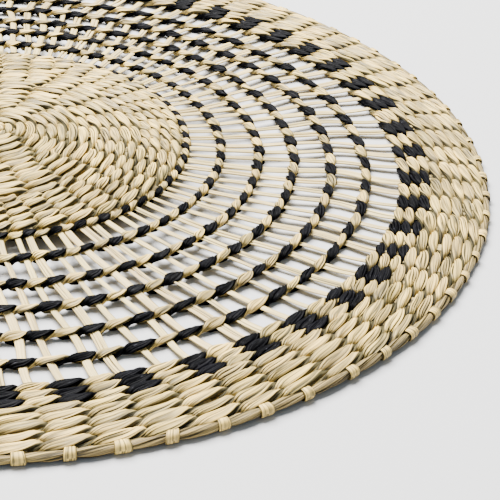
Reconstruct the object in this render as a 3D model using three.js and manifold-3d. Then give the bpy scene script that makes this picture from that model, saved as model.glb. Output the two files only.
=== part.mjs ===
// Round twined straw placemat, lying flat. Millimetres, +Z up.
// The origin is on the surface it lies on, under the middle of the mat.
//
// mat: the woven body, one solid. From the middle out it has
//      - a dense twined centre, a little raised off the surface,
//      - an openwork zone: radial straws held by five single twined rows, with six rings of gaps,
//      - a dense twined border.
// rim: the bundle of straws lashed round the edge, a separate ring.
import * as THREE from 'three';
import { mergeVertices } from 'three/addons/utils/BufferGeometryUtils.js';
import Module from 'manifold-3d';

// ---------------------------------------------------------------- driving dimensions
const OUTER_R = 190;          // outside of the lashed rim
const RIM_W = 3.4;            // rim bundle, across
const RIM_H = 3.4;            // rim bundle, high
const GAP = 0.3;              // between the woven body and the rim

const BORDER_IN_R = 155.1;    // inner edge of the dense border
const BORDER_T = 4.0;         // border thickness over the twined rows
const CENTRE_R = 75.8;        // outer edge of the dense centre
const CENTRE_T = 4.0;         // centre thickness
const CENTRE_LIFT = 3.0;      // how far the middle is raised off the surface
const OPEN_T = 3.0;           // openwork: between the 4 mm twined rows and the thinner straws

const STRAWS = 100;           // radial straws
const WEB_T = 1.4;            // bare straws where their gaps are too narrow to be cut here
const LEAN_DEG = 1.0;         // a straw turns this much from one ring of gaps to the next
const SIDES = 48;             // facets of the plain round parts
const LAP = 0.5;              // thick parts start this far behind the ends of the gaps

// The six rings of gaps between the twined rows, with a gap between each two straws. In the
// outer three rings each gap is cut. In the inner three the gaps are under 4 mm wide, and the
// straws there are a thin web with the twined rows standing above it.
const GAP_RINGS = [
  { name: 'ring_1', from: 75.8, to: 84.7, straw: 2.5, cut: false },
  { name: 'ring_2', from: 88.9, to: 99.4, straw: 2.7, cut: false },
  { name: 'ring_3', from: 103.6, to: 113.0, straw: 2.9, cut: false },
  { name: 'ring_4', from: 117.2, to: 127.3, straw: 3.0, cut: true },
  { name: 'ring_5', from: 131.5, to: 140.8, straw: 3.1, cut: true },
  { name: 'ring_6', from: 145.0, to: 155.1, straw: 3.1, cut: true },
];

// Underside and top of the raised centre, from the middle out.
const CENTRE_SECTION = [
  { r: 0, lift: 1.0 },
  { r: 46, lift: 0.93 },
  { r: 64, lift: 0.52 },
  { r: 72.5, lift: 0 },
];

// ---------------------------------------------------------------- helpers
const wasm = await Module();
wasm.setup();

function solid(geometry) {
  const g = geometry.index ? geometry.toNonIndexed() : geometry.clone();
  g.deleteAttribute('normal');
  g.deleteAttribute('uv');
  const m = mergeVertices(g, 1e-4);
  return new wasm.Manifold(new wasm.Mesh({
    numProp: 3,
    vertProperties: new Float32Array(m.attributes.position.array),
    triVerts: new Uint32Array(m.index.array),
  }));
}

function geometryOf(manifold) {
  const m = manifold.getMesh();
  const g = new THREE.BufferGeometry();
  const p = new Float32Array((m.vertProperties.length / m.numProp) * 3);
  for (let i = 0; i < p.length / 3; i++) {
    for (let k = 0; k < 3; k++) p[3 * i + k] = m.vertProperties[m.numProp * i + k];
  }
  g.setAttribute('position', new THREE.BufferAttribute(p, 3));
  g.setIndex(new THREE.BufferAttribute(new Uint32Array(m.triVerts), 1));
  const flat = g.toNonIndexed();
  flat.computeVertexNormals();
  return flat;
}

// A turned part about Z from (radius, height) pairs; the three.js lathe turns about Y.
function turned(section, sides) {
  const g = new THREE.LatheGeometry(section.map(([r, z]) => new THREE.Vector2(r, z)), sides);
  g.rotateX(Math.PI / 2);
  return g;
}

const at = (r, a, side = 0) => new THREE.Vector2(
  r * Math.cos(a) - side * Math.sin(a),
  r * Math.sin(a) + side * Math.cos(a),
);

// Direction of the middle of gap k in the ring with number i.
const gapAngle = (k, i) => (2 * Math.PI * k) / STRAWS
  + THREE.MathUtils.degToRad(LEAN_DEG * (i - (GAP_RINGS.length - 1)));

// ---------------------------------------------------------------- woven body
function openwork() {
  const outline = new THREE.Shape();
  const rOut = BORDER_IN_R + 2.4;
  for (let k = 0; k < SIDES; k++) {
    const p = at(rOut, (2 * Math.PI * k) / SIDES);
    if (k) outline.lineTo(p.x, p.y); else outline.moveTo(p.x, p.y);
  }
  outline.closePath();

  const middle = new THREE.Path();
  for (let k = 0; k < SIDES; k++) {
    const p = at(CENTRE_R - 2.2, (-2 * Math.PI * k) / SIDES);
    if (k) middle.lineTo(p.x, p.y); else middle.moveTo(p.x, p.y);
  }
  middle.closePath();
  outline.holes.push(middle);

  const half = Math.PI / STRAWS;
  GAP_RINGS.forEach((ring, i) => {
    for (let k = 0; ring.cut && k < STRAWS; k++) {
      const a = gapAngle(k, i);
      // The gap's four corners lie half a straw's width off the middle lines of the straws beside it.
      const inner0 = at(ring.from, a - half, ring.straw / 2);
      const outer0 = at(ring.to, a - half, ring.straw / 2);
      const outer1 = at(ring.to, a + half, -ring.straw / 2);
      const inner1 = at(ring.from, a + half, -ring.straw / 2);
      const hole = new THREE.Path();
      hole.moveTo(inner0.x, inner0.y);
      hole.lineTo(inner1.x, inner1.y);
      hole.lineTo(outer1.x, outer1.y);
      hole.lineTo(outer0.x, outer0.y);
      hole.closePath();
      outline.holes.push(hole);
    }
  });
  return new THREE.ExtrudeGeometry(outline, { depth: OPEN_T, bevelEnabled: false, curveSegments: 1 });
}

// What is taken off above the web of an uncut ring of gaps.
const aboveWeb = ({ from, to }) => turned(
  [[from, WEB_T], [to, WEB_T], [to, OPEN_T + 1], [from, OPEN_T + 1], [from, WEB_T]],
  SIDES,
);

function centre() {
  const under = CENTRE_SECTION.map(({ r, lift }) => [r, CENTRE_LIFT * lift]);
  const top = CENTRE_SECTION.map(({ r, lift }) => [r, CENTRE_LIFT * lift + CENTRE_T]).reverse();
  const edge = CENTRE_R - LAP;
  return turned([...under, [edge, 0], [edge, CENTRE_T - 0.4], ...top], SIDES);
}

function border() {
  const inner = BORDER_IN_R + LAP;
  const outer = OUTER_R - RIM_W - GAP;
  return turned([
    [inner, 0], [outer, 0], [outer, BORDER_T - 0.5], [outer - 1.2, BORDER_T],
    [inner + 1.2, BORDER_T], [inner, BORDER_T - 0.5], [inner, 0],
  ], SIDES);
}

// ---------------------------------------------------------------- rim
function rim() {
  const rMid = OUTER_R - RIM_W / 2;
  const section = [];
  for (let k = 0; k <= 8; k++) {
    const a = (2 * Math.PI * (k % 8)) / 8 - Math.PI / 8;
    section.push([
      rMid + (RIM_W / 2) * (Math.cos(a) / Math.cos(Math.PI / 8)),
      (RIM_H / 2) * (1 + Math.sin(a) / Math.cos(Math.PI / 8)),
    ]);
  }
  return turned(section, SIDES);
}

// ---------------------------------------------------------------- the object
const straw = new THREE.MeshStandardMaterial({ color: 0xd9c7a0, roughness: 0.75, metalness: 0 });
const darkerStraw = new THREE.MeshStandardMaterial({ color: 0xc8ae7f, roughness: 0.7, metalness: 0 });

const placemat = new THREE.Group();

let body = solid(openwork());
for (const ring of GAP_RINGS) if (!ring.cut) body = body.subtract(solid(aboveWeb(ring)));
body = body.add(solid(centre())).add(solid(border()));
const matMesh = new THREE.Mesh(geometryOf(body), straw);
matMesh.name = 'mat';
placemat.add(matMesh);

const rimMesh = new THREE.Mesh(geometryOf(solid(rim())), darkerStraw);
rimMesh.name = 'rim';
placemat.add(rimMesh);

export default placemat;
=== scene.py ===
import math

import bpy
import numpy as np
from mathutils import Matrix, Vector


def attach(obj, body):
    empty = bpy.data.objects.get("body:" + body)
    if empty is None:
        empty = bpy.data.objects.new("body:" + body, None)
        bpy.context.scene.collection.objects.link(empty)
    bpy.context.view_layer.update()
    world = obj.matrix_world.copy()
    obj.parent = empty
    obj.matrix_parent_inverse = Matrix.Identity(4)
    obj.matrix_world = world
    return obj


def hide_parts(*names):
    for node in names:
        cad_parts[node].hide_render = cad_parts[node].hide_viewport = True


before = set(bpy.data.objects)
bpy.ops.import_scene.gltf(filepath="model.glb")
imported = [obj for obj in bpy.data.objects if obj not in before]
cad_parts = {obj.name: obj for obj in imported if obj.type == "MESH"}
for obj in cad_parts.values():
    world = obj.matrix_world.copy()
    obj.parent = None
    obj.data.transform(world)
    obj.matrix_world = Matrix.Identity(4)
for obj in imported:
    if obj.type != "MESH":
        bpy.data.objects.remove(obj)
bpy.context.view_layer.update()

# Round twined straw placemat. Everything below is worked out in millimetres in the row's frame
# and turned into metres where a mesh is made. theta runs anticlockwise seen from above.

MM = 0.001
R = 190.0                 # outside of the lashed rim
STRAWS = 100              # radial straws
LEAN = math.radians(1.0)  # a straw turns this much from one ring of gaps to the next
RING_PITCH = 13.9         # between rings of gaps
CENTRE_ROWS = 18          # twined rows of the centre

# Single twined rows that stand in the openwork, from the centre out: radius, and which straws
# (even or odd) the dyed strand passes over.
OPEN_ROWS = [
    dict(r=73.7, dyed=0), dict(r=86.8, dyed=1), dict(r=101.5, dyed=0),
    dict(r=115.1, dyed=1), dict(r=129.4, dyed=0), dict(r=142.9, dyed=1),
]
DYED_BORDER_ROWS = [157.3, 161.1, 165.0]
NATURAL_BORDER_ROWS = [168.9, 172.8, 176.7, 180.6, 184.3]
LASHINGS = 79

# Height of the weave's middle layer above the ground, from the middle of the mat out. The centre
# is domed, the openwork rises to it from its outer rings, which lie flat, and the border stands a
# little higher than those.
MID_Z = [
    (0, 7.0), (40, 6.8), (60, 6.1), (68, 5.4), (73.7, 4.7), (80, 4.4), (86.8, 4.1), (101.5, 3.4),
    (115.1, 2.5), (129.4, 1.8), (142.9, 1.45), (151, 1.8), (157.3, 2.1), (165, 2.25), (188, 2.2), (200, 2.2),
]
MZ = np.array(MID_Z, float)


def mid_z(r, th=None):
    """Height of the middle layer; near the front right the edge curls up a little more."""
    z = np.interp(r, MZ[:, 0], MZ[:, 1])
    if th is None:
        return z
    a = (np.degrees(th) + 42 + 180) % 360 - 180
    g = np.clip((r - 140) / 46, 0, 1)
    return z + 0.5 * np.exp(-(a / 24) ** 2) * g * g * (3 - 2 * g)


SHIFT = np.array([0.8, 2.2])      # the border isn't quite round the same middle as the rest
# and the raised centre with the rings round it has slipped a little to the front: (radius, mm)
SLIP = np.array([
    (0, 1.6), (40, 1.7), (60, 2.0), (68, 2.5), (73.7, 2.7), (80, 2.9), (86.8, 3.0), (101.5, 2.6), (115.1, 1.5), (129.4, 0.6),
    (142.9, 0.0),
])


def shifted(V):
    r = np.hypot(V[..., 0], V[..., 1])
    g = np.clip((r - 143) / 36, 0, 1)
    g = g * g * (3 - 2 * g)
    V = V.copy()
    V[..., :2] += g[..., None] * SHIFT
    V[..., 1] -= np.interp(r, SLIP[:, 0], SLIP[:, 1])
    return V


def lean(r):
    return LEAN * (r - 150.05) / RING_PITCH


rng = np.random.default_rng(11)
straw_jitter = rng.normal(0, math.radians(0.22), STRAWS)


# The straws aren't quite evenly spread: degrees by which some stand off, at the openwork and at
# the border.
OFF_K = [-22, -18, -14, -8, -6, -4, 0, 2, 6, 8, 12, 16, 20, 50, 72]
OFF_OPEN = [0.2, 0.2, 0.1, 0.1, -0.1, -0.3, -0.6, -0.5, -0.1, -0.2, -0.8, -1.4, -1.8, -0.7, 0.0]
OFF_BORDER = [-0.6, -1.1, -0.6, -0.9, -2.5, -3.3, -4.1, -3.8, -2.8, -2.8, -3.2, -4.5, -5.8, -3.0, -0.7]


def off_turn(k, r):
    kk = (np.asarray(k) + 22) % 100 - 22
    inner, outer = np.interp(kk, OFF_K + [78], OFF_OPEN + [0.3]), np.interp(kk, OFF_K + [78], OFF_BORDER + [-0.5])
    f = np.clip((np.asarray(r) - 129) / 30, 0, 1)
    return np.radians(inner + (outer - inner) * f * f * (3 - 2 * f))


def straw_angle(k, r):
    """Direction of radial straw k where it is r mm from the middle."""
    k = np.asarray(k)
    wobble = math.radians(0.22) * np.sin(r / 9.0 + k * 2.39) * np.clip((150 - r) / 40 + 1, 0.6, 1.4)
    return 2 * math.pi * (k + 0.5) / STRAWS + lean(r) + straw_jitter[k % STRAWS] + wobble + off_turn(k, r)


# ---------------------------------------------------------------- mesh making
class Batch:
    """Collects swept strips and makes one mesh of them, with a map along the strands and a map for
    baking in which each stretch has its own cell."""

    def __init__(self, name):
        self.name, self.v, self.f, self.uv, self.cell, self.tone, self.fold_shade = name, [], [], [], [], [], []
        self.caps = []
        self.n, self.cells = 0, 0

    def sweep(self, P, N, half_w, half_t, top, x, bottom, xb, tone, fold_shade, along, cuts, closed, ends=False, under_shade=0.5):
        """P: the strip's middle (n, 3); N: face direction (n, 3); half_w and half_t: (n,); top: (n, len(x))
        heights of the face, in half thicknesses; bottom: (len(xb),); tone: (n, 3) and fold_shade: (n, len(x)), the
        crease depth drawn as painted shade, are kept with the mesh; under_shade: painted shade on the back, darkest
        at its edges; along: (n,) length along the strand; cuts: where a cell begins."""
        n = len(P)
        if closed:
            T = np.roll(P, -1, 0) - np.roll(P, 1, 0)
        else:
            T = np.gradient(P, axis=0)
        T /= np.linalg.norm(T, axis=1)[:, None]
        N = N - (N * T).sum(1)[:, None] * T
        N /= np.linalg.norm(N, axis=1)[:, None]
        B = np.cross(T, N)
        m = np.shape(x)[-1] + len(xb)
        X = np.concatenate([np.broadcast_to(x, (n, np.shape(x)[-1])), np.broadcast_to(xb, (n, len(xb)))], 1)
        Y = np.concatenate([top, np.broadcast_to(bottom, (n, len(xb)))], 1)
        V = P[:, None, :] + B[:, None, :] * (X * half_w[:, None])[:, :, None] + N[:, None, :] * (Y * half_t[:, None])[:, :, None]
        V[:, :, 2] = np.maximum(V[:, :, 2], 0.02)
        V = shifted(V)
        base = self.n
        # painted shade on the back of the strip, darker towards its edges
        under_shade = np.broadcast_to(under_shade * np.abs(xb) / max(1e-6, np.abs(xb).max()), (n, len(xb)))
        self.fold_shade.append(np.concatenate([fold_shade, under_shade], 1).ravel())
        self.v.append(V.reshape(-1, 3))
        self.tone.append(np.repeat(tone, m, 0))
        self.n += n * m
        segs = n if closed else n - 1
        i = np.arange(segs)[:, None]
        j = np.arange(m)[None, :]
        i1, j1 = (i + 1) % n, (j + 1) % m
        F = np.stack([base + i * m + j, base + i * m + j1, base + i1 * m + j1, base + i1 * m + j], -1)
        self.f.append(F.reshape(-1, 4))
        # strand map: u round the section from 0 to 1, v metres along
        X0 = X.mean(0)
        girth = np.concatenate([[0], np.cumsum(np.abs(np.diff(np.append(X0, X0[0]))) + 0.02)])
        girth /= girth[-1]
        u0, u1 = girth[j] + 0 * i, girth[j + 1] + 0 * i
        a = np.asarray(along, float)
        v0, v1 = a[:segs][:, None] + 0 * j, (np.append(a, a[-1] + (a[-1] - a[-2]))[1:segs + 1])[:, None] + 0 * j
        self.uv.append(np.stack([np.stack([u0, v0], -1), np.stack([u1, v0], -1), np.stack([u1, v1], -1), np.stack([u0, v1], -1)], 2).reshape(-1, 4, 2))
        # bake map: cell number and place in the cell
        cuts = np.asarray(cuts)
        which = np.searchsorted(cuts, np.arange(segs), side="right") - 1
        start = cuts[which]
        length = np.append(cuts[1:], segs)[which] - start
        p0 = (np.arange(segs) - start) / length
        p1 = (np.arange(segs) + 1 - start) / length
        P0, P1 = p0[:, None] + 0 * j, p1[:, None] + 0 * j
        C = (self.cells + which)[:, None] + 0 * j
        q = np.stack([np.stack([P0, u0], -1), np.stack([P0, u1], -1), np.stack([P1, u1], -1), np.stack([P1, u0], -1)], 2)
        self.cell.append(np.concatenate([np.broadcast_to(C[:, :, None, None], q.shape[:3] + (1,)), q], -1).reshape(-1, 4, 3))
        self.cells += len(cuts)
        if ends and not closed:
            for row, flip in ((0, True), (n - 1, False)):
                ring = base + row * m + np.arange(m)
                c = V[row].mean(0)
                self.v.append(c[None])
                self.tone.append(tone[row][None])
                self.fold_shade.append(np.array([0.5]))
                ci = self.n
                self.n += 1
                tri = np.stack([ring, np.roll(ring, -1), np.full(m, ci)], 1)
                self.caps.append((tri[:, [1, 0, 2]] if flip else tri, a[row]))

    def make(self, material, smooth=True):
        V = np.concatenate(self.v) * MM
        F = np.concatenate(self.f)
        UV = np.concatenate(self.uv)
        C = np.concatenate(self.cell)
        side = int(math.ceil(math.sqrt(self.cells)))
        cell = C[..., 0]
        col, row = cell % side, cell // side
        pad = 0.06
        bake = np.stack([(col + pad + (1 - 2 * pad) * C[..., 1]) / side, (row + pad + (1 - 2 * pad) * C[..., 2]) / side], -1)
        tris = []
        tri_uv = []
        for t, a in self.caps:
            tris.append(t)
            tri_uv.append(np.broadcast_to(np.array([0.25, a]), t.shape + (2,)))
        me = bpy.data.meshes.new(self.name)
        nq = len(F)
        if tris:
            Tt = np.concatenate(tris)
            TU = np.concatenate(tri_uv)
        else:
            Tt = np.zeros((0, 3), int)
            TU = np.zeros((0, 3, 2))
        loops = np.concatenate([F.reshape(-1), Tt.reshape(-1)])
        start = np.concatenate([np.arange(nq) * 4, nq * 4 + np.arange(len(Tt)) * 3])
        me.vertices.add(len(V))
        me.vertices.foreach_set("co", V.astype(np.float32).ravel())
        me.loops.add(len(loops))
        me.loops.foreach_set("vertex_index", loops.astype(np.int32))
        me.polygons.add(len(start))
        me.polygons.foreach_set("loop_start", start.astype(np.int32))
        me.update(calc_edges=True)
        uv = me.uv_layers.new(name="strand")
        uv.uv.foreach_set("vector", np.concatenate([UV.reshape(-1, 2), TU.reshape(-1, 2)]).astype(np.float32).ravel())
        bk = me.uv_layers.new(name="OFBake")
        tb = np.tile(np.array([[0.5 / side * 0.1, 0.5 / side * 0.1]]), (len(Tt) * 3, 1))
        bk.uv.foreach_set("vector", np.concatenate([bake.reshape(-1, 2), tb]).astype(np.float32).ravel())
        at = me.attributes.new("tone", "FLOAT_VECTOR", "POINT")
        at.data.foreach_set("vector", np.concatenate(self.tone).astype(np.float32).ravel())
        at = me.attributes.new("fold_shade", "FLOAT", "POINT")
        at.data.foreach_set("value", np.concatenate(self.fold_shade).astype(np.float32))
        me.validate()
        if smooth:
            me.polygons.foreach_set("use_smooth", np.ones(len(start), bool))
        me.materials.append(material)
        me.update()
        ob = bpy.data.objects.new(self.name, me)
        bpy.context.scene.collection.objects.link(ob)
        return ob


# Section of a folded leaf: a crowned face of four ribs with lengthwise folds between them, some
# deep and some hardly there, and a flatter back.
BACK_X = np.array([0.72, 0.0, -0.72])
BACK_Y = np.array([-0.80, -1.0, -0.80])


def crown(x):
    return 1.75 * np.clip(1 - np.abs(x * 0.985) ** 2.0, 0, 1) ** 0.62 - 0.10


def leaf_face(r, n, depth=1.0):
    """For n stretches of leaf: places across the face, its heights there, and how far into a crease or
    close to an edge each point is, which is drawn as painted shade."""
    g = np.array([-0.50, 0.0, 0.50]) + r.uniform(-0.16, 0.16, (n, 3))
    one = np.ones((n, 1))
    stops = np.concatenate([-one, g, one], 1)
    mids = 0.5 * (stops[:, 1:] + stops[:, :-1])
    mids[:, 0] -= 0.03
    mids[:, 3] += 0.03
    x = np.zeros((n, 9))
    x[:, 0::2], x[:, 1::2] = stops, mids
    h = crown(x)
    h[:, 1::2] += 0.12 + r.normal(0, 0.15, (n, 4))
    d = np.where(r.random((n, 3)) < 0.60, r.uniform(0.8, 1.0, (n, 3)), r.uniform(0.0, 0.50, (n, 3)))
    d = d * np.clip(depth * r.uniform(0.2, 1.6, (n, 1)), 0, 1)       # some leaves are hardly folded
    h[:, 2:8:2] -= 1.35 * d
    fold_shade = np.zeros((n, 9))
    # painted shade: the edges and the folds are marked to be drawn darker
    fold_shade[:, [0, 8]] = 1.0
    fold_shade[:, 2:8:2] = d
    return x, h, fold_shade


def smooth_at(values, s, closed):
    """values at whole numbers, eased between them, read at s."""
    n = len(values)
    k = np.floor(s).astype(int)
    f = s - k
    f = f * f * (3 - 2 * f)
    if closed:
        a, b = values[k % n], values[(k + 1) % n]
    else:
        a, b = values[np.clip(k, 0, n - 1)], values[np.clip(k + 1, 0, n - 1)]
    if values.ndim == 2:
        f = f[:, None]
    return a + (b - a) * f


def line_at(values, s, closed, turn=0.0):
    n = len(values)
    k = np.floor(s).astype(int)
    f = s - k
    if closed:
        a = values[k % n] + turn * (k // n)
        b = values[(k + 1) % n] + turn * ((k + 1) // n)
    else:
        a, b = values[np.clip(k, 0, n - 1)], values[np.clip(k + 1, 0, n - 1)]
    return a + (b - a) * f


def twine(theta, rad, strands, seed, h=1.05, w=1.0, width=(3.7, 3.7), thick=1.1, closed=True, nf=9, nb=4, depth=1.0,
          stay=0.26, flat=0.34, plump=0.75, shade=0.72):
    """A pair of strands twined round the radial straws at directions theta, rad mm out: each passes
    over one straw and under the next. strands: the batch for each of the two."""
    r = np.random.default_rng(seed)
    K = len(theta)
    theta, rad = np.asarray(theta, float), np.asarray(rad, float) * np.ones(K)
    two_turns = closed and K % 2 == 1
    if two_turns:
        theta, rad = np.concatenate([theta, theta + 2 * math.pi]), np.concatenate([rad, rad])
        K *= 2
    turn = 2 * math.pi * (2 if two_turns else 1)
    for j, batch in enumerate(strands):
        if batch is None or (two_turns and j == 1):
            continue
        s, cuts, count = [], [], 0
        first, last = (0, K) if closed else (0, K)
        for k in range(first, last):
            n = nf if (k + j) % 2 == 0 else nb
            s.append(k - 0.5 + np.arange(n) / n)
            cuts.append(count)
            count += n
        s = np.concatenate(s)
        if not closed:
            s = np.append(s, K - 0.5)
        # a strand stays in front for longer than it stays behind
        ph = math.pi * (s + j)
        ph = ph - stay * np.sin(ph)
        c, sn = np.cos(ph), np.sin(ph)
        k_near = np.round(s).astype(int)
        wide = np.clip(r.normal(1.0, 0.13, K), 0.74, 1.28)
        high = r.normal(0, 0.12, K)
        out = r.normal(0, 0.24, K)
        skew = r.normal(0, 0.14, K)
        th = line_at(theta, s, closed, turn)
        ra = line_at(rad, s, closed) + smooth_at(out, s, closed)
        hh = h * (1.12 * c - 0.12 * np.cos(3 * ph))
        # the strand turns over quickly between straws and lies flat over and under them
        lay = ph - flat * np.sin(2 * ph) + smooth_at(skew, s, closed)
        rr = ra - w * sn
        z = mid_z(ra, th) + hh + smooth_at(high, s, closed) * np.abs(c)
        er = np.stack([np.cos(th), np.sin(th), 0 * th], 1)
        P = er * rr[:, None]
        P[:, 2] = z
        N = -np.sin(lay)[:, None] * er
        N[:, 2] = np.cos(lay)
        ease = np.abs(c) ** 0.9
        hw = 0.5 * width[j] * smooth_at(wide, s, closed) * (0.36 + 0.67 * ease)
        ht = 0.5 * thick * (1.0 + plump * (1 - np.abs(c) ** 2))
        across, face, fold_shade = (smooth_at(q, s, closed) for q in leaf_face(r, K, depth))
        face = face * (0.70 + 0.30 * ease)[:, None]
        # painted shade where the strand turns over between straws and dives behind the other
        fold_shade = np.maximum(fold_shade, np.clip(1 - np.abs(c - 0.06) / 0.30, 0, 1)[:, None] * shade)
        # between two straws the leaf is bunched up against the other strand
        reach = np.hypot(w * sn, hh) - 0.30 * np.abs(c) ** 2
        back = BACK_Y[None] * np.maximum(reach / ht, 1.0)[:, None]
        kind = np.stack([r.random(K), r.random(K), r.random(K)], 1)
        own = r.random(3)
        kind[:, 0] = 0.75 * kind[:, 0] + 0.25 * own[0]
        tone = kind[k_near % K]
        mix = np.clip((np.abs(s - k_near) - 0.38) / 0.12, 0, 1)[:, None] * 0.5
        other = kind[(k_near + np.where(s > k_near, 1, -1)) % K]
        tone = tone * (1 - mix) + other * mix
        step = np.linalg.norm(np.diff(P, axis=0, append=P[:1] if closed else P[-1:]), axis=1)
        along = np.concatenate([[0], np.cumsum(step)])[: len(P)] * MM + r.random() * 5
        batch.sweep(P, N, hw, ht, face, across, back, BACK_X, tone, fold_shade, along, cuts, closed,
                    ends=not closed)


# ---------------------------------------------------------------- materials
def nodes_of(name):
    m = bpy.data.materials.new(name)
    m.use_nodes = True
    nt = m.node_tree
    nt.nodes.clear()
    return m, nt


def link(nt, a, b):
    nt.links.new(a, b)


def straw_material(name, ramp, roughness, shade_tint, shade_mix, lines=(8.0, 34.0), crease_shade_mix=0.86,
                   streak=0.3, bump=0.5, specular=0.35, painted_glint=None, hue=0.05):
    """Dried leaf: tone by stitch, fine lengthwise fibres and creases, with painted shade along the crease lines and
    in the folds.
    """
    m, nt = nodes_of(name)
    N = nt.nodes.new

    def put(a, socket):
        if hasattr(a, "links"):
            link(nt, a, socket)
        else:
            socket.default_value = a

    def math_node(op, a, b=None, clamp=False):
        n = N("ShaderNodeMath")
        n.operation, n.use_clamp = op, clamp
        put(a, n.inputs[0])
        if b is not None:
            put(b, n.inputs[1])
        return n.outputs[0]

    def ramp_node(value, f0, f1, t0, t1, smooth=False):
        n = N("ShaderNodeMapRange")
        n.interpolation_type = "SMOOTHSTEP" if smooth else "LINEAR"
        put(value, n.inputs["Value"])
        for k, v in zip(("From Min", "From Max", "To Min", "To Max"), (f0, f1, t0, t1)):
            n.inputs[k].default_value = v
        return n.outputs[0]

    def mixed(kind, factor, a, b):
        n = N("ShaderNodeMix")
        n.data_type, n.blend_type = "RGBA", kind
        put(factor, n.inputs["Factor"])
        put(a, n.inputs[6])
        put(b, n.inputs[7])
        return n.outputs[2]

    def vector(x, y, z=0.0):
        n = N("ShaderNodeCombineXYZ")
        for i, v in enumerate((x, y, z)):
            put(v, n.inputs[i])
        return n.outputs[0]

    def noise(v, scale, detail, rough=0.5):
        n = N("ShaderNodeTexNoise")
        put(v, n.inputs["Vector"])
        n.inputs["Scale"].default_value = scale
        n.inputs["Detail"].default_value = detail
        n.inputs["Roughness"].default_value = rough
        return n.outputs["Fac"]

    out, bsdf = N("ShaderNodeOutputMaterial"), N("ShaderNodeBsdfPrincipled")
    link(nt, bsdf.outputs[0], out.inputs[0])
    uv = N("ShaderNodeUVMap")
    uv.uv_map = "strand"
    sep = N("ShaderNodeSeparateXYZ")
    link(nt, uv.outputs[0], sep.inputs[0])
    u, v = sep.outputs[0], sep.outputs[1]
    att = N("ShaderNodeAttribute")
    att.attribute_name = "tone"
    ats = N("ShaderNodeSeparateXYZ")
    link(nt, att.outputs["Vector"], ats.inputs[0])
    fold_shade = N("ShaderNodeAttribute")
    fold_shade.attribute_name = "fold_shade"
    geo = N("ShaderNodeTexCoord")

    fibres = noise(vector(math_node("MULTIPLY", u, 46.0), math_node("MULTIPLY", v, 55.0)), 1.0, 3.0, 0.6)
    broad = noise(vector(math_node("MULTIPLY", u, 9.0), math_node("MULTIPLY", v, 28.0), 3.0), 1.0, 2.0)
    patch = noise(geo.outputs["Object"], 62.0, 2.0)
    vor = N("ShaderNodeTexVoronoi")
    vor.voronoi_dimensions, vor.feature = "2D", "DISTANCE_TO_EDGE"
    vor.inputs["Scale"].default_value = 1.0
    link(nt, vector(math_node("MULTIPLY", u, lines[0]), math_node("MULTIPLY", v, lines[1])), vor.inputs["Vector"])
    # painted shade: thin dark lines where the leaf's creases lie, also pressed into the bump
    crease_shade = ramp_node(vor.outputs["Distance"], 0.03, 0.22, 1.0, 0.0, True)
    crease_shade = math_node("MULTIPLY", crease_shade, ramp_node(broad, 0.36, 0.56, 0.25, 1.0))

    tones = N("ShaderNodeValToRGB")
    el = tones.color_ramp.elements
    while len(el) > 1:
        el.remove(el[-1])
    el[0].position, el[0].color = ramp[0][0], (*ramp[0][1], 1)
    for p, c in ramp[1:]:
        el.new(p).color = (*c, 1)
    t = math_node("ADD", math_node("MULTIPLY", ats.outputs[0], 0.42), math_node("MULTIPLY", patch, 0.46))
    t = math_node("ADD", t, math_node("MULTIPLY", math_node("SUBTRACT", broad, 0.43), 0.80), clamp=True)
    link(nt, t, tones.inputs[0])
    col = tones.outputs[0]
    # some leaves are greener, some pinker
    col = mixed("MULTIPLY", 1.0, col, mixed("MIX", ats.outputs[1], (1 + 0.5 * hue, 1 - 0.4 * hue, 1, 1),
                                            (1 - hue, 1 + 0.2 * hue, 1 - 2.0 * hue, 1)))
    col = mixed("MULTIPLY", 1.0, col, ramp_node(fibres, 0.34, 0.60, 1.0 - streak, 1.07))
    # painted shade of the crease lines
    col = mixed("MULTIPLY", math_node("MULTIPLY", crease_shade, crease_shade_mix), col, (*shade_tint, 1))
    # painted shade: the colour is darkened towards the shade tint where the fold_shade attribute is high, in creases,
    # at edges and where strands cross
    painted_shade = ramp_node(fold_shade.outputs["Fac"], 0.30, 0.66, 0.0, shade_mix, True)
    col = mixed("MULTIPLY", painted_shade, col, (*shade_tint, 1))
    # painted glints: small light flecks along the dyed straw's fibres
    if painted_glint:
        glint_dots = noise(vector(math_node("MULTIPLY", u, 30.0), math_node("MULTIPLY", v, 420.0), 7.0), 1.0, 1.0)
        col = mixed("MIX", ramp_node(glint_dots, 0.68, 0.78, 0.0, 0.8), col, (*painted_glint, 1))
    link(nt, col, bsdf.inputs["Base Color"])
    link(nt, ramp_node(broad, 0.3, 0.7, roughness - 0.10, roughness + 0.12), bsdf.inputs["Roughness"])
    link(nt, ramp_node(fold_shade.outputs["Fac"], 0.20, 0.62, specular, 0.05 * specular), bsdf.inputs["Specular IOR Level"])
    height = math_node("ADD", fibres, math_node("MULTIPLY", broad, 0.8))
    height = math_node("SUBTRACT", height, math_node("MULTIPLY", crease_shade, 0.9))
    bp = N("ShaderNodeBump")
    bp.inputs["Strength"].default_value, bp.inputs["Distance"].default_value = bump, 0.0005
    link(nt, height, bp.inputs["Height"])
    link(nt, bp.outputs[0], bsdf.inputs["Normal"])
    return m


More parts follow.
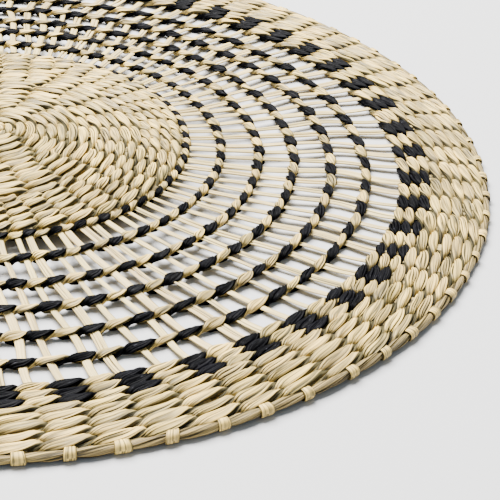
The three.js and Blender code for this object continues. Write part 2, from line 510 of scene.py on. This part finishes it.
NATURAL = [
    (0.12, (0.265, 0.192, 0.072)),
    (0.28, (0.400, 0.287, 0.097)),
    (0.44, (0.555, 0.390, 0.119)),
    (0.58, (0.745, 0.516, 0.145)),
    (0.76, (0.965, 0.664, 0.180)),
]
BARS = [
    (0.14, (0.380, 0.284, 0.118)),
    (0.38, (0.505, 0.376, 0.157)),
    (0.58, (0.650, 0.488, 0.202)),
    (0.80, (0.830, 0.626, 0.258)),
]
DYED = [(0.2, (0.0010, 0.0010, 0.0014)), (0.5, (0.0018, 0.0018, 0.0028)), (0.85, (0.0045, 0.0045, 0.0065))]
RIM = [
    (0.15, (0.195, 0.138, 0.051)),
    (0.40, (0.290, 0.203, 0.069)),
    (0.62, (0.400, 0.278, 0.088)),
    (0.85, (0.540, 0.376, 0.115)),
]
# tint of the painted shade in folds, at edges and where strands cross
FOLD_SHADE_TINT = (0.080, 0.105, 0.21)
natural = straw_material("natural_straw", NATURAL, 0.42, FOLD_SHADE_TINT, 0.95, specular=0.25, streak=0.14, hue=0.02)
natural_bar = straw_material("radial_straw", BARS, 0.50, FOLD_SHADE_TINT, 0.80, lines=(5.0, 18.0), crease_shade_mix=0.26, streak=0.10, hue=0.02)
dyed = straw_material("dyed_straw", DYED, 0.50, (0.4, 0.4, 0.4), 0.8, specular=0.05, bump=0.8, painted_glint=(0.06, 0.06, 0.075), hue=0.0)
rim_mat = straw_material("rim_straw", RIM, 0.48, FOLD_SHADE_TINT, 0.85, streak=0.18, hue=0.02)

# ---------------------------------------------------------------- twining
centre_b, open_b, dyed_b, border_b = Batch("centre_twining"), Batch("openwork_twining"), Batch("dyed_twining"), Batch("border_twining")


def shade_core(theta, rad, batch, half, high, fold_shade):
    """Where the two strands of a row cross they are bunched together; this dark cord closes the middle there with
    painted shade.
    """
    n = 4 * len(theta)
    th = line_at(np.asarray(theta), np.arange(n) / 4.0, True, 2 * math.pi)
    rad = line_at(rad * np.ones(len(theta)), np.arange(n) / 4.0, True)
    P = np.stack([rad * np.cos(th), rad * np.sin(th), mid_z(rad, th)], 1)
    a = np.array([1.0, 0.5, -0.5, -1.0])
    N = np.tile([0.0, 0.0, 1.0], (n, 1))
    batch.sweep(P, N, half + 0 * th, high + 0 * th, np.tile([0.0, 0.9, 0.9, 0.0], (n, 1)), -a,
                np.array([-0.9, -0.9]), np.array([0.5, -0.5]), np.full((n, 3), 0.3), np.full((n, 4), fold_shade),
                th * rad * MM, np.arange(0, n, 8), True)


# The openwork rows and the dyed border rows, one stitch to each straw.
k_all = np.arange(STRAWS)
for i, row in enumerate(OPEN_ROWS):
    pair = (dyed_b, open_b) if row["dyed"] == 0 else (open_b, dyed_b)
    small = row["r"] < 80
    twine(straw_angle(k_all, row["r"]), row["r"], pair, seed=100 + i,
          width=[(3.0 if small else 3.6 if row["r"] < 90 else 4.2) if b is dyed_b else (2.8 if small else 3.7) for b in pair],
          thick=0.86, h=0.90, w=0.58, plump=0.9, stay=0.20)
    # a dark cord of painted shade fills the holes where the strands cross
    shade_core(straw_angle(k_all, row["r"]), row["r"], open_b, 0.62, 0.5, 0.38)
for i, r0 in enumerate(DYED_BORDER_ROWS):
    twine(straw_angle(k_all, r0), r0, (dyed_b, border_b), seed=120 + i, width=(4.1, 4.1), h=1.0, w=0.90)
    shade_core(straw_angle(k_all, r0), r0, open_b, 0.9, 0.5, 0.5)

# The natural border rows are worked on fewer, thicker straws, and the end of each of these is a
# lashing of the rim. Their directions in degrees: those in sight first, then the rest of the way.
SEEN = np.array([-76.3, -72.0, -67.6, -63.1, -58.4, -54.1, -49.5, -43.9, -39.2, -34.8, -30.2, -26.1, -21.9])
rest = np.linspace(SEEN[-1], SEEN[0] + 360, LASHINGS - len(SEEN) + 2)[1:-1]
lash_t = np.radians(np.concatenate([SEEN, rest + rng.normal(0, 0.22, len(rest))]))
for i, r0 in enumerate(NATURAL_BORDER_ROWS):
    a = lash_t + rng.normal(0, math.radians(0.22), LASHINGS)
    wob = 0.25 * np.sin(3 * a + i)
    twine(a, r0 + wob, (border_b, border_b), seed=140 + i, width=(4.05, 4.05), thick=1.3, h=1.15, w=1.05, depth=1.1)
    # a dark cord of painted shade fills the holes where the strands cross
    shade_core(a, r0 + wob, border_b, 1.9, 0.35, 0.5)

# The dense centre is one long spiral. Straws are put in where those it crosses have spread.
angles = list(2 * math.pi * np.arange(6) / 6 + rng.normal(0, 0.05, 6))
born = [3.0] * 6
crng = np.random.default_rng(5)
rows_of_centre = []
for row in range(CENTRE_ROWS):
    r0 = 2.7 + row * (69.9 - 2.7) / (CENTRE_ROWS - 1)
    arc = 16.0 - 5.0 * min(1.0, max(0.0, (r0 - 40) / 28))
    a = np.sort(np.array(angles))
    # spread the straws a little more evenly, then put new ones into the widest gaps
    for _ in range(2):
        nxt, prv = np.roll(a, -1).copy(), np.roll(a, 1).copy()
        nxt[-1] += 2 * math.pi
        prv[0] -= 2 * math.pi
        a = a + 0.10 * ((nxt + prv) / 2 - a)
    while True:
        gap = np.diff(np.append(a, a[0] + 2 * math.pi))
        limit = arc * (1.0 + 0.12 * crng.random())
        i = int(np.argmax(gap))
        if gap[i] * r0 < limit or len(a) > 46:
            break
        a = np.sort(np.append(a, a[i] + gap[i] * crng.uniform(0.42, 0.58)))
    angles = list(a)
    rows_of_centre.append((r0, a.copy()))
for row, (r0, a) in enumerate(rows_of_centre):
    a = a + crng.normal(0, 0.02 if row > 3 else 0.0, len(a)) * min(1.0, 30 / (r0 + 1)) + row * 0.012
    wob = 0.18 * np.sin(2 * a + row * 0.7) + 0.12 * np.sin(5 * a + row)
    small = min(1.0, 0.55 + r0 / 25)
    twine(a, r0 + wob, (centre_b, centre_b), seed=300 + row, width=(3.55 * (0.85 if row < 2 else 1),) * 2, thick=1.35,
          h=1.15 * small, w=1.0 * small, depth=0.8, stay=0.20, shade=0.48,
          nf=9 if row > 2 else 10, nb=5)
    if row > 0:
        # a dark cord of painted shade fills the holes where the strands cross
        shade_core(a, r0 + wob, centre_b, 1.9, 0.35, 0.5)

centre_o = centre_b.make(natural)
open_o = open_b.make(natural)
dyed_o = dyed_b.make(dyed)
border_o = border_b.make(natural)

# ---------------------------------------------------------------- radial straws
straw_b = Batch("radial_straws")
SX = np.array([-1.0, -0.7, -0.25, 0.2, 0.68, 1.0])
SB = np.array([0.6, 0.0, -0.6])
SBY = np.array([-0.85, -1.0, -0.85])
srng = np.random.default_rng(21)


def straw(k_angle, r0, r1, half, thick, side, steps, tone, lift=0.0, painted_shade=0.0):
    """One radial straw as a flat strip. k_angle(r): direction; side(r): mm off to one side."""
    r = np.linspace(r0, r1, steps)
    th = k_angle(r)
    er = np.stack([np.cos(th), np.sin(th), 0 * th], 1)
    et = np.stack([-np.sin(th), np.cos(th), 0 * th], 1)
    P = er * r[:, None] + et * side(r)[:, None]
    P[:, 2] = mid_z(r, th) + lift
    roll = srng.normal(0, 0.13) + 0.12 * np.sin(r / 11 + srng.uniform(0, 6))
    Nn = np.stack([0 * r, 0 * r, np.ones_like(r)], 1) + et * roll[:, None]
    crown = np.array([0.15, 0.85, 0.95, 0.95, 0.85, 0.15])
    fold_shade = np.array([0.15, 0, 0, 0, 0, 0.15])
    # where the strip is folded once along, painted shade runs along the fold
    if srng.random() < 0.5:                    # folded once along
        g = srng.integers(2, 4)
        crown[g] -= srng.uniform(0.5, 0.9)
        fold_shade[g] = srng.uniform(0.5, 0.95)
    # the whole strip is drawn darker as painted shade where it lies beneath other parts
    fold_shade = np.maximum(fold_shade, painted_shade)
    top = np.repeat((crown + srng.normal(0, 0.08, 6) * np.array([0, 1, 1, 1, 1, 0]))[None], steps, 0)
    top = top + 0.10 * np.sin(r[:, None] / 5 + srng.uniform(0, 6, (1, 6)))
    straw_b.sweep(P, Nn, half(r), thick + 0 * r, top, SX, SBY, SB, np.repeat(tone[None], steps, 0),
                  np.repeat(fold_shade[None], steps, 0), r * MM + srng.uniform(0, 5), np.arange(0, steps - 1, 6), False,
                  ends=True, under_shade=0.0)


def narrow(r):
    return np.interp(r, [60, 80, 110, 150, 190], [0.76, 0.80, 0.88, 0.97, 1.0])


for k in range(STRAWS):
    base = srng.normal(1.50, 0.14)
    tone = srng.random(3) * np.array([0.45, 1, 1]) + np.array([0.50, 0, 0])
    drift = srng.normal(0, 0.18)
    p1, p2 = srng.uniform(0, 6, 2)

    def direction(r, k=k):
        return straw_angle(k, r)

    if srng.random() < 0.24:
        for sgn in (-1, 1):
            straw(direction, 66, 168.0,
                  lambda r, b=base, s=sgn: 0.60 * b * narrow(r) * (1 + 0.10 * np.sin(r / 7 + p1 + s)),
                  0.30 + 0.05 * srng.random(),
                  lambda r, s=sgn, b=base: s * (0.57 * b * narrow(r)) + drift + 0.10 * np.sin(r / 8 + p2 * s),
                  56, np.clip(tone + srng.normal(0, 0.08, 3), 0, 1), lift=0.10 * sgn)
    else:
        straw(direction, 66, 168.0,
              lambda r, b=base: b * narrow(r) * (1 + 0.09 * np.sin(r / 7 + p1)),
              0.36 + 0.06 * srng.random(),
              lambda r: drift + 0.14 * np.sin(r / 9 + p2), 56, tone)

# those of the outer border, drawn darker with painted shade where they lie beneath the border rows
for x in lash_t:
    straw(lambda r, x=x: x + 0 * r, 164.0, 186.6, lambda r: 3.3 + 0 * r, 0.5, lambda r: 0 * r, 9,
          np.array([0.4, srng.random(), srng.random()]), painted_shade=0.4)

# beneath the dense centre the straws lie side by side, drawn darker with painted shade of the centre above them
for row, (r0, a) in enumerate(rows_of_centre):
    for i, x in enumerate(a):
        gap = a[(i + 1) % len(a)] + (2 * math.pi if i == len(a) - 1 else 0) - x
        straw(lambda r, x=x: x + 0 * r + row * 0.012, max(0.4, r0 - 2.5), r0 + 2.5,
              lambda r, w=gap * r0: np.minimum(0.47 * w, 3.5) + 0 * r, 0.5, lambda r: 0 * r, 3,
              np.array([0.3, srng.random(), srng.random()]), lift=srng.normal(0, 0.05) - 0.15, painted_shade=0.5)
straws_o = straw_b.make(natural_bar)

# ---------------------------------------------------------------- rim
RIM_R = 187.3
RIM_DROP = 0.3            # the rim lies this much lower than the middle of the weave
rim_b = Batch("rim_bundle")
rrng = np.random.default_rng(31)
n_rim = LASHINGS * 8
s_rim = np.arange(n_rim) / 8.0
t = line_at(lash_t, s_rim, True, 2 * math.pi)
phase = s_rim - np.round(s_rim)                # 0 at a lashing
pinch = np.exp(-(phase / 0.22) ** 2)
PX = np.array([-1.0, -0.55, 0.0, 0.55, 1.0])
PB = np.array([0.6, 0.0, -0.6])
er = np.stack([np.cos(t), np.sin(t), 0 * t], 1)
for i in range(4):
    tw = 2 * math.pi * i / 4 + 0.5 + 17 * t + 0.35 * np.sin(7 * t + 2 * i)
    swell = smooth_at(rrng.normal(1.0, 0.12, LASHINGS), s_rim, True)
    off = 0.86 * (1.0 - 0.42 * pinch) * swell
    P = er * (RIM_R + off * np.cos(tw))[:, None]
    P[:, 2] = mid_z(RIM_R, t) - RIM_DROP + 0.84 * off * np.sin(tw)
    N = er * np.cos(tw)[:, None]
    N[:, 2] = np.sin(tw)
    kind = rrng.random((LASHINGS, 3))
    crown = np.tile(np.array([0.15, 0.85, 1.0, 0.85, 0.15]), (LASHINGS, 1)) + rrng.normal(0, 0.12, (LASHINGS, 5))
    # painted shade at the edges of each strand of the bundle and along one fold in it
    fold_shade = np.zeros((LASHINGS, 5))
    fold_shade[:, [0, 4]] = 0.7
    g = rrng.integers(1, 4, LASHINGS)
    d = rrng.uniform(0.1, 0.7, LASHINGS)
    fold_shade[np.arange(LASHINGS), g] = d
    crown[np.arange(LASHINGS), g] -= 0.6 * d
    rim_b.sweep(P, N, 1.22 * (1 - 0.36 * pinch) * swell, 0.72 - 0.10 * pinch, smooth_at(crown, s_rim, True), PX,
                np.array([-0.8, -1, -0.8]), PB, smooth_at(kind, s_rim, True), smooth_at(fold_shade, s_rim, True),
                t * RIM_R * MM, np.arange(0, n_rim, 8), True)
rim_o = rim_b.make(rim_mat)

wrap_b = Batch("rim_lashing")
WX = np.array([-1.0, -0.72, -0.36, 0.0, 0.36, 0.72, 1.0])
WB = np.array([0.7, 0.0, -0.7])
for i in range(LASHINGS):
    n = 20
    a = 2 * math.pi * np.arange(n) / n
    tilt = rrng.normal(-0.05, 0.12)
    hw = float(np.clip(rrng.normal(2.0, 0.26), 1.5, 2.6))
    e1 = np.array([math.cos(lash_t[i]), math.sin(lash_t[i]), 0.0])
    e2 = np.array([-e1[1], e1[0], 0.0])
    ex, ez = 1.72, 1.58
    # one flat turn round the bundle
    x = ex * np.sign(np.cos(a)) * np.abs(np.cos(a)) ** 0.85
    z = ez * np.sign(np.sin(a)) * np.abs(np.sin(a)) ** 0.85
    P = e1[None] * (RIM_R + x)[:, None] + e2[None] * (tilt * x * 1.5)[:, None]
    P[:, 2] = mid_z(RIM_R, lash_t[i]) - RIM_DROP + z
    N = e1[None] * (np.cos(a) / ex)[:, None]
    N[:, 2] = np.sin(a) / ez
    tone = np.repeat((rrng.random(3) * np.array([0.5, 1, 1]) + np.array([0.42, 0, 0]))[None], n, 0)
    crown = np.array([0.3, 0.95, 0.9, 1.0, 0.9, 0.95, 0.3]) + rrng.normal(0, 0.08, 7)
    # painted shade at the edges of the lashing and in its folds
    fold_shade = np.array([0.6, 0, 0.35 * rrng.random(), 0, 0.45 * rrng.random(), 0, 0.6])
    crown = crown - 0.9 * np.where(np.arange(7) % 2 == 0, fold_shade, 0) * np.array([0, 1, 1, 1, 1, 1, 0])
    wrap_b.sweep(P, N, hw * (0.92 + 0.12 * np.cos(a)), 0.27 + 0 * a, np.repeat(crown[None], n, 0), WX,
                 np.array([-0.8, -1, -0.8]), WB, tone, np.repeat(fold_shade[None], n, 0), a * 1.9 * MM + rrng.uniform(0, 5),
                 np.array([0]), True)
wrap_o = wrap_b.make(natural)

# ---------------------------------------------------------------- frame
WEAVE = (centre_o, open_o, dyed_o, border_o, straws_o)
EDGE = (rim_o, wrap_o)
for ob in WEAVE:
    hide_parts("mat")
    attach(ob, "root")
for ob in EDGE:
    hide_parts("rim")
    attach(ob, "root")

# ---------------------------------------------------------------- floor, light, camera
floor_me = bpy.data.meshes.new("floor")
s = 6.0
floor_me.from_pydata([(-s, -s, 0), (s, -s, 0), (s, s, 0), (-s, s, 0)], [], [(0, 1, 2, 3)])
floor = bpy.data.objects.new("floor", floor_me)
bpy.context.scene.collection.objects.link(floor)
fm, nt = nodes_of("floor_paint")
o = nt.nodes.new("ShaderNodeOutputMaterial")
b = nt.nodes.new("ShaderNodeBsdfPrincipled")
b.inputs["Base Color"].default_value = (0.488, 0.488, 0.491, 1)
b.inputs["Roughness"].default_value = 0.7
b.inputs["Specular IOR Level"].default_value = 0.2
nt.links.new(b.outputs[0], o.inputs[0])
floor_me.materials.append(fm)

world = bpy.data.worlds.new("studio")
world.use_nodes = True
bg = world.node_tree.nodes["Background"]
bg.inputs[0].default_value = (0.80, 0.91, 1.0, 1)
bg.inputs[1].default_value = 0.54
bpy.context.scene.world = world


def area(name, at, target, size, power, colour=(1, 1, 1)):
    l = bpy.data.lights.new(name, "AREA")
    l.energy, l.size, l.color = power, size, colour
    l.shape = "SQUARE"
    ob = bpy.data.objects.new(name, l)
    d = Vector(target) - Vector(at)
    ob.matrix_world = Matrix.Translation(at) @ d.to_track_quat("-Z", "Y").to_matrix().to_4x4()
    bpy.context.scene.collection.objects.link(ob)
    return ob


area("key", (-0.72, 0.88, 1.95), (0.05, -0.05, 0), 1.7, 452, (1.0, 0.985, 0.965))

# The camera, found from the ellipses of the rings in the photograph.
F_PX, PITCH, ROLL, DIST, UX, UY = 1334.76, 0.556233, -0.090621, 2.406342, 0.533614, -0.336684
TURN = math.radians(0.3)
back = np.array([0.0, -math.cos(PITCH), math.sin(PITCH)])
C = (np.array([UX, UY, 0.0]) + back * DIST) * R * MM + np.array([0, 0, 0.0022])
zv = -back
xv = np.cross(zv, [0, 0, 1.0])
xv /= np.linalg.norm(xv)
yv = np.cross(zv, xv)
cr, sr = math.cos(ROLL), math.sin(ROLL)
axes = [cr * xv + sr * yv, -(-sr * xv + cr * yv), -zv]
turn = np.array([[math.cos(TURN), -math.sin(TURN), 0], [math.sin(TURN), math.cos(TURN), 0], [0, 0, 1.0]])
C, axes = turn @ C, [turn @ v for v in axes]
cam = bpy.data.cameras.new("camera")
cam.sensor_fit = "HORIZONTAL"
cam.sensor_width = 36.0
cam.lens = F_PX / 500 * 36.0
cam.clip_start, cam.clip_end = 0.01, 50
cam_o = bpy.data.objects.new("camera", cam)
M = Matrix.Identity(4)
for i in range(3):
    M[i][0], M[i][1], M[i][2], M[i][3] = axes[0][i], axes[1][i], axes[2][i], C[i]
cam_o.matrix_world = M
bpy.context.scene.collection.objects.link(cam_o)
bpy.context.scene.camera = cam_o

bpy.context.view_layer.update()
for ob in WEAVE + EDGE:
    print("piece", ob.name, len(ob.data.vertices), sum(len(p.vertices) - 2 for p in ob.data.polygons))
